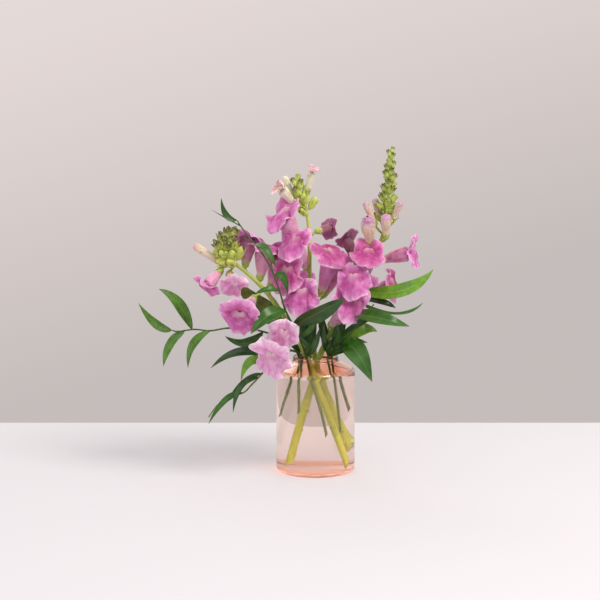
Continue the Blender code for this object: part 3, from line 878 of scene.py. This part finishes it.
def makeLeaf(name, stemPath, leaf, materials):
    piece = leafBlade(name, stemPath, leaf, materials, leafShape["rows"])
    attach(piece, "root")
    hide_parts(name)


def cutAcross(trunk, path, radius):
    # the foot was cut on a slant
    inward = (path[1] - path[0]).normalized()
    slant = inward.cross(Vector((0, 1, 0))).normalized()
    for vertex in trunk.data.vertices:
        offset = vertex.co / mm - path[0]
        if offset.length < radius * 1.2:
            vertex.co += inward * (radius - offset.dot(slant)) * 1.3 * mm


def taper(first, last, step, steps):
    return first + (last - first) * step / steps


ruscusShape = {
    "foot": 1.3, "tip": 0.6, "sides": 12,  # radius at each end of the stem
    "knot": 0.22, "uneven": (0.97, 1.03),  # shares of the radius
}


def makeRuscusStem(key, material, leafFinishes):
    dice = random.Random(key)
    path = smoothPath(ruscusPaths[key], 7)
    radii = []
    for i in range(len(path)):
        radius = taper(ruscusShape["foot"], ruscusShape["tip"], i, len(path) - 1)
        node = 1 + ruscusShape["knot"] * max(0.0, math.cos(i * 0.9)) ** 12
        radii.append(radius * node * dice.uniform(*ruscusShape["uneven"]))
    piece = tubePiece("ruscus_" + key, path, radii, ruscusShape["sides"])
    paintTone(piece, 0.0, 0.0, lambda vertex: 0.2 * underWater(vertex))
    piece.data.materials.append(material)
    softShade(piece)
    cutAcross(piece, path, radii[0])
    blades = []
    for i, leaf in enumerate(sprigBlades[key]):
        blades.append(leafBlade(f"{key}Side{i}", path, leaf, leafFinishes, leafShape["sprigRows"]))
    piece = joinPieces([piece] + blades, "ruscus_" + key)
    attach(piece, "root")
    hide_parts(f"ruscus_{key}_stem")
    return path


# Snapdragon stems, calyces and buds

sepalShape = {
    "columns": 30, "rows": 9, "thickness": 0.45,
    "cupRows": 0.45, "cup": 0.42, "points": 0.58,  # share of the rows, and shares of the length
}


def cupPiece(name, base, axis, side, length, radius, spread, dark, young):
    # five pointed sepals that grow from a rounded cup
    across = axis.cross(side)
    turn = random.Random(name).uniform(0, 6.28)
    cup = sepalShape["cup"]
    cupRows = sepalShape["cupRows"]

    def placeAt(u, v):
        angle = 2 * math.pi * u
        if v <= cupRows:
            share = v / cupRows
            rise = share * length * cup
            size = radius * math.sin(share * math.pi / 2)
        else:
            point = abs(math.cos(2.5 * angle + turn)) ** 0.7
            reach = length * (cup + sepalShape["points"] * point)
            rise = length * cup + (v - cupRows) / (1 - cupRows) * (reach - length * cup)
            size = radius * (1 + spread * (v - cupRows) / (1 - cupRows))
        radial = side * math.cos(angle) + across * math.sin(angle)
        return base + axis * rise + radial * max(size, 0.25)

    def darkTip(vertex):
        rise = (vertex.co / mm - base).dot(axis) / length
        return dark * max(0.0, min(1.0, (rise - 0.55) / 0.4))

    piece = gridPiece(name, sepalShape["columns"], sepalShape["rows"], placeAt)
    weld(piece)
    addSolid(piece, sepalShape["thickness"], otherInside=False)
    applyAll(piece)
    paintTone(piece, darkTip, young)
    return piece


def eggPiece(name, base, axis, length, radius, dark, young):
    # a closed bud with a blunt point
    deselectAll()
    bpy.ops.mesh.primitive_uv_sphere_add(segments=12, ring_count=9)
    piece = bpy.context.object
    piece.name = name
    turn = axis.to_track_quat("Z", "Y")
    tips = []
    for vertex in piece.data.vertices:
        share = (vertex.co.z + 1) / 2
        girth = 1.0 - 0.28 * share ** 2 + 0.06 * math.cos(3 * math.atan2(vertex.co.y, vertex.co.x))
        shaped = Vector((vertex.co.x * radius * girth, vertex.co.y * radius * girth, share * length))
        vertex.co = (base + turn @ shaped) * mm
        tips.append(dark * smooth(0.5, 0.85, share))
    paintTone(piece, lambda vertex: tips[vertex.index], young, underWater)
    softShade(piece)
    return piece


snapdragonShape = {
    "radii": (3.2, 2.7, 1.1),  # at the foot, in the neck of the vase and at the tip
    "uneven": (0.985, 1.015), "sides": 18,
    "knot": 0.16, "knotEvery": 17,  # share of the radius, and steps of the path
    "stubLevels": (24, 41, 60), "stalk": 1.05, "calyxLength": 8.6, "calyxRadius": 3.5,
}


def snapdragonRadii(path):
    foot, waist, tip = snapdragonShape["radii"]
    neck = min(range(len(path)), key=lambda i: abs(path[i].z - vase["height"]))
    above = len(path) - 1 - neck
    lower = [taper(foot, waist, i, neck) for i in range(neck + 1)]
    return lower + [taper(waist, tip, i, above) for i in range(1, above + 1)]


def cutStubs(key, path, dice):
    # what is left of side shoots that were cut off, under water
    stubs = []
    for level in snapdragonShape["stubLevels"]:
        root = min(path, key=lambda p: abs(p.z - level - dice.uniform(-4, 4)))
        turn = dice.uniform(0, 6.28)
        out = Vector((math.cos(turn), math.sin(turn), 0.5)).normalized()
        stubs.append(eggPiece(f"{key}Node{level}", root + out * 1.6, out, 3.4, 1.5, 0.5, 0.3))
    return stubs


def stalkAndCalyx(name, path, flower):
    mouth = Vector(flower[0])
    axis = (Vector(flower[1]) - mouth).normalized()
    centre = mouth - axis * 2.95
    root = nearestOn(path, centre - axis * 4.0 - up * 3.0)
    bend = (root + centre) * 0.5 - up * 0.8
    stalkPath = smoothPath([root, bend, centre - axis * 1.4], 4)
    radii = [snapdragonShape["stalk"] - 0.15 * math.sin(i) for i in range(len(stalkPath))]
    stalk = tubePiece(name + "Stalk", stalkPath, radii, 10)
    paintTone(stalk, 0.0, 0.35)
    size = 1.0 if flower[2] > 7 else 0.8
    length = snapdragonShape["calyxLength"] * size
    radius = snapdragonShape["calyxRadius"] * size
    side = axis.orthogonal().normalized()
    cup = cupPiece(name + "Calyx", mouth - axis * 4.6, axis, side, length, radius, 0.16, 0.25, 0.25)
    return [stalk, cup]


def tipBuds(key, path, dice):
    # green buds that spiral down from the tip by the golden turn
    count, stretch, shortest, longest, plump, darkShare, paleness = budSpirals[key]
    back = path[::-1]
    depths = [0.0]
    for first, second in zip(back, back[1:]):
        depths.append(depths[-1] + (second - first).length)
    buds = []
    side = None
    for i in range(count):
        share = i / (count - 1)
        down = stretch * share ** 0.9
        index = min(range(len(depths)), key=lambda k: abs(depths[k] - down))
        along = (back[max(index - 1, 0)] - back[index + 1]).normalized()
        side = along.orthogonal() if side is None else side - along * side.dot(along)
        side.normalize()
        turn = math.radians(137.5) * i
        out = side * math.cos(turn) + along.cross(side) * math.sin(turn)
        lean = math.radians(14 + 40 * share ** 0.7 + dice.uniform(-7, 7))
        axis = (along * math.cos(lean) + out * math.sin(lean)).normalized()
        length = shortest + (longest - shortest) * share ** 0.7
        girth = length * plump
        base = back[index] - along * length * 0.30 + out * (0.6 + length * 0.14 * share)
        dark = (1.0 if dice.random() < 0.7 else 0.5) * (1.0 if share < darkShare else 0.2)
        young = min(1.0, paleness + 0.35 * dice.random())
        eggBase = base + axis * length * 0.12
        buds.append(eggPiece(f"{key}Bud{i}", eggBase, axis, length * 0.88, girth * 0.9, dark, young + 0.2))
        name = f"{key}Sepals{i}"
        around = out.cross(axis).normalized()
        buds.append(cupPiece(name, base - axis * 0.2, axis, around, length * 0.96, girth, 0.04, dark, young))
    return buds


def makeSnapdragonStem(key, material, petalFinishes):
    path = smoothPath(snapdragonPaths[key], 8)
    radii = snapdragonRadii(path)
    dice = random.Random(key)
    shaped = [radius * dice.uniform(*snapdragonShape["uneven"]) for radius in radii]
    for knot in range(9, len(path) - 30, snapdragonShape["knotEvery"]):
        for step in (-1, 0, 1):
            shaped[knot + step] *= 1 + snapdragonShape["knot"] - 0.09 * abs(step)
    stubs = cutStubs(key, path, dice)
    trunk = tubePiece(key + "Trunk", path, shaped, snapdragonShape["sides"])
    cutAcross(trunk, path, radii[0])
    paintTone(trunk, 0.0, lambda vertex: 0.15 + 0.6 * smooth(0.15, 0.23, vertex.co.z), underWater)
    pieces = [trunk] + stubs
    for name, flower in numbered(key, "floret", florets[key]).items():
        pieces += stalkAndCalyx(name, path, flower)
    coloured = []
    for name, flower in numbered(key, "bud", colouredBuds[key]).items():
        pieces += stalkAndCalyx(name, path, flower)
        coloured.append(petalPiece(name, path, flower, petalFinishes))
    pieces += tipBuds(key, path, dice)
    for green in pieces:
        green.data.materials.append(material)
    piece = joinPieces(pieces + coloured, f"snapdragon_{key}")
    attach(piece, "root")
    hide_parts(f"snapdragon_{key}_stem")
    return path


# Florets

petalShape = {
    "columns": 56, "rows": 26, "steps": 40, "thickness": 0.32, "ruffle": 0.26,
    "tubeEnd": 0.40, "tubeFoot": 2.3,  # share of the rows that make the tube, and its radius at the calyx
    "palate": 2.32, "palateOut": 0.36,  # how far the swelling shuts the mouth, and how far it stands out
    "groove": 0.13, "press": 0.44,  # the line down the swelling, and how far the upper lip leans on it
}

# turn from the upper side and half width, both in degrees, and length as a share
lobes = [(35, 43, 1.35), (-35, 43, 1.35), (116, 36, 1.05), (-116, 36, 1.05), (180, 42, 1.15)]


def lobeReach(angle):
    best = 0.52
    for centre, half, length in lobes:
        away = degreesApart(angle, centre) / half
        if away < 1:
            best = max(best, length * (0.5 + 0.5 * math.sqrt(1 - away * away)))
    return best


def sway(place, phases, pace):
    # a smooth wander that is the same on every run
    x, y, z = place * pace
    across = math.sin(x + 1.3 * y + phases[0]) + 0.6 * math.sin(1.9 * z - x + phases[1])
    over = math.sin(y + 1.4 * z + phases[2]) + 0.6 * math.sin(2.1 * x + y + phases[3])
    along = math.sin(z + 1.2 * x + phases[4]) + 0.6 * math.sin(1.8 * y - z + phases[5])
    return Vector((across, over, along)) * 0.28


def petalPiece(name, stemPath, flower, materials):
    mouth, lips, halfWidth, kind, openness = flower
    mouth = Vector(mouth)
    lips = Vector(lips)
    axis = (lips - mouth).normalized()
    length = (lips - mouth).length
    upper = up * 0.75 + (nearestOn(stemPath, lips) - lips).normalized()
    upper = (upper - axis * upper.dot(axis)).normalized()
    side = upper.cross(axis)
    tubeEnd = petalShape["tubeEnd"]
    tubeFoot = petalShape["tubeFoot"]
    tubeLength = max(length * 0.55, length - halfWidth * 0.55)
    throat = max(3.4, halfWidth * 0.68)
    opened = smooth(0.1, 0.55, openness)
    steps = petalShape["steps"]
    dice = random.Random(name)
    hood = dice.uniform(0.0, 0.55)
    ruffle = [dice.uniform(0, 6.28) for _ in range(4)]
    lobeTurns = [dice.uniform(-30, 30) for _ in lobes]
    phases = [dice.uniform(0, 6.28) for _ in range(6)]
    flop = dice.uniform(-0.15, 0.15)

    def lipLine(angle):
        # radius, height and tilt from the throat to the edge of the lip
        low = smooth(0.30, 0.60, 0.5 - 0.5 * math.cos(angle))
        endUp = -92 + opened * (112 + 105 * openness - 60 * hood)
        endLow = -92 + opened * (127 + 125 * openness)
        end = endUp + (endLow - endUp) * low
        for turn, (centre, half, _) in zip(lobeTurns, lobes):
            away = degreesApart(angle, centre) / half
            end += turn * opened * max(0.0, 1 - away * away)
        reach = throat * 1.55 * (1 - opened) + lobeReach(angle) * halfWidth * 1.18 * opened
        radius, height = throat, tubeLength
        line = [(radius, height, 0.0)]
        for i in range(steps):
            share = (i + 0.5) / steps
            eased = smooth(0.02, 0.88, share) * opened + share * (1 - opened)
            tilt = math.radians(6 + (end - 6) * eased)
            radius += math.sin(tilt) * reach / steps
            height += math.cos(tilt) * reach / steps
            line.append((max(radius, 0.3), height, tilt))
        return line

    def onTube(angle, below, s):
        crease = math.exp(-((math.degrees(abs(angle)) - 180) / 14) ** 2)
        radius = tubeFoot + (throat - tubeFoot) * smooth(-0.3, 0.95, s)
        radius *= 1 + 0.07 * math.cos(2 * angle) * s - 0.05 * crease * s
        radius += 0.8 * math.exp(-((s - 0.14) / 0.13) ** 2) * below
        radius += 0.02 * throat * math.sin(9 * angle + ruffle[0]) * s
        place = Vector((math.sin(angle) * radius, math.cos(angle) * radius, tubeLength * s))
        return place + sway(place, phases, 0.45) * throat * 0.09 * s

    def onLip(angle, below, s, line):
        slot = min(int(s * steps), steps - 1)
        part = s * steps - slot
        radius = line[slot][0] * (1 - part) + line[slot + 1][0] * part
        height = line[slot][1] * (1 - part) + line[slot + 1][1] * part
        tilt = line[slot][2]
        wave = math.sin(5 * angle + ruffle[1]) * 0.55 + math.sin(9 * angle + ruffle[2]) * 0.40
        wave += math.sin(16 * angle + ruffle[3]) * 0.18
        lift = halfWidth * petalShape["ruffle"] * min(1.0, halfWidth / 11) * wave
        lift = lift * s ** 1.6 * (0.25 + 0.75 * opened)
        radius += math.cos(tilt) * lift
        height -= math.sin(tilt) * lift
        place = Vector((math.sin(angle) * radius, math.cos(angle) * radius, height))
        # the swollen palate that shuts the mouth
        fullness = smooth(0.0, 0.24, s) * (1 - smooth(0.30, 0.66, s)) * opened
        swell = fullness * below ** 0.9
        swell *= 1 - petalShape["groove"] * math.exp(-((math.degrees(abs(angle)) - 180) / 11) ** 2)
        place.y += throat * petalShape["palate"] * swell
        place.y -= throat * petalShape["press"] * fullness * max(0.0, math.cos(angle))
        place.z += halfWidth * petalShape["palateOut"] * swell
        near = sway(place, phases, 0.45) * throat * 0.09
        far = sway(place, phases[::-1], 0.26) * halfWidth * 0.40 * s * (0.3 + 0.7 * opened)
        place += near + far
        place.x += flop * halfWidth * s
        return place

    lipLines = {}

    def placeAt(u, v):
        angle = -2 * math.pi * u
        below = max(0.0, -math.cos(angle))
        if v <= tubeEnd:
            place = onTube(angle, below, v / tubeEnd)
        else:
            column = round(u * 1000)
            if column not in lipLines:
                lipLines[column] = lipLine(angle)
            place = onLip(angle, below, (v - tubeEnd) / (1 - tubeEnd), lipLines[column])
        return mouth + side * place.x + upper * place.y + axis * (place.z + 0.4)

    piece = gridPiece(name + "_petals", petalShape["columns"], petalShape["rows"], placeAt)
    weld(piece)
    for material in materials[kind]:
        piece.data.materials.append(material)
    addSolid(piece, petalShape["thickness"])
    addSmooth(piece)
    applyAll(piece)
    return piece


def makeFloret(name, stemPath, flower, materials):
    piece = petalPiece(name, stemPath, flower, materials)
    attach(piece, "root")
    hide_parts(name)


placeCamera()
placeLamps()
makeWorld()
makeFloor()
print("stage ready")

growthLines = makeGrowthLines()
petalMaterials = bothSides(petalMaterial, petalKinds, growthLines)
leafMaterials = bothSides(leafMaterial, leafKinds, growthLines)
snapdragonGreen = stemMaterial("snapdragonGreen", growthLines)
ruscusGreen = stemMaterial("ruscusGreen", growthLines)
print("finishes ready")

makeVase()
makeWater()
print("vase and water ready")

stemPaths = {}
for key in ruscusPaths:
    stemPaths[key] = makeRuscusStem(key, ruscusGreen, leafMaterials)
for key in snapdragonPaths:
    stemPaths[key] = makeSnapdragonStem(key, snapdragonGreen, petalMaterials)
print("stems ready")

for stem, rows in leaves.items():
    # the left snapdragon's one wide leaf has a name without a number
    named = {"stem_leaf": rows[0]} if stem == "left" else numbered(stem, "leaf", rows)
    for name, leaf in named.items():
        makeLeaf(name, stemPaths[stem], leaf, leafMaterials)
print("leaves ready")

for stem, rows in florets.items():
    for name, flower in numbered(stem, "floret", rows).items():
        makeFloret(name, stemPaths[stem], flower, petalMaterials)
print("florets ready")

scene = bpy.context.scene
scene.view_settings.view_transform = "Standard"
scene.cycles.max_bounces = view["bounces"]
scene.cycles.transmission_bounces = view["bounces"]
scene.cycles.transparent_max_bounces = view["bounces"]
